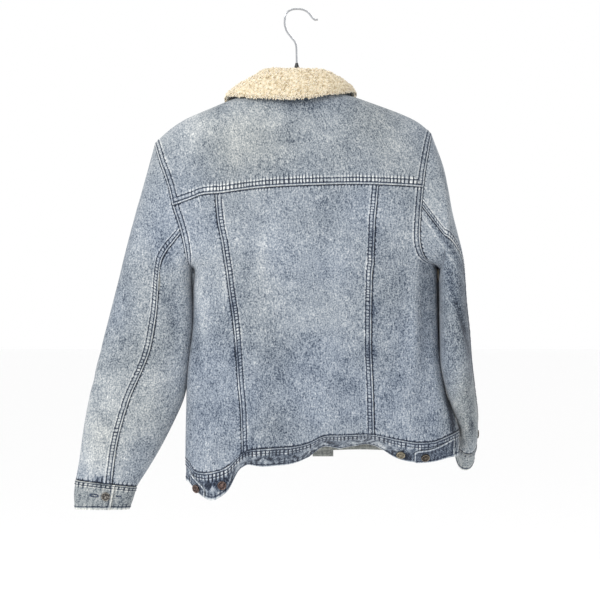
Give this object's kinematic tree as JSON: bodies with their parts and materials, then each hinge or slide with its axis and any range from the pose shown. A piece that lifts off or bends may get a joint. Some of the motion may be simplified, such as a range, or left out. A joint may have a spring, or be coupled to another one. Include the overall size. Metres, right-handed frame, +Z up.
{
  "type": "sherpa lined denim jacket on a clothes hanger",
  "caption": "Washed denim trucker jacket with a cream sherpa collar, buttoned up and hung from a clothes hanger by its hook.",
  "frame": {"origin": "inside of the hanger hook's crown, where the hook rests on a rail", "axes": "+Z up; +Y towards the front of the jacket, so the back faces -Y; +X towards the wearer's right"},
  "size_m": [0.6939, 0.193, 0.8523],
  "materials": {
    "denim": "acid washed blue-grey twill, matt",
    "denim_band": "the same twill, darker and puckered at the bands",
    "sherpa": "curled cream pile",
    "copper_button": "antique copper plated, satin",
    "chrome_wire": "polished wire",
    "hanger_plastic": "black, satin"
  },
  "bodies": {
    "root": {"back_centre": "denim", "back_side_left": "denim", "back_side_right": "denim", "back_yoke": "denim", "front_left": "denim", "front_right": "denim", "sleeve_left_top": "denim", "sleeve_left_under": "denim", "sleeve_right_top": "denim", "sleeve_right_under": "denim", "under_collar": "denim", "cuff_left": "denim_band", "cuff_right": "denim_band", "front_placket": "denim_band", "side_tab_left": "denim_band", "side_tab_right": "denim_band", "waistband_back": "denim_band", "waistband_left": "denim_band", "waistband_right": "denim_band", "collar": "sherpa", "cuff_button_left": "copper_button", "cuff_button_right": "copper_button", "front_button_1": "copper_button", "front_button_2": "copper_button", "front_button_3": "copper_button", "front_button_4": "copper_button", "front_button_5": "copper_button", "front_button_6": "copper_button", "spare_button_left": "copper_button", "spare_button_right": "copper_button", "tab_button_left": "copper_button", "tab_button_right": "copper_button", "hanger_hook": "chrome_wire", "hanger_neck": "hanger_plastic", "hanger_bar": "hanger_plastic"}
  },
  "joints": []
}
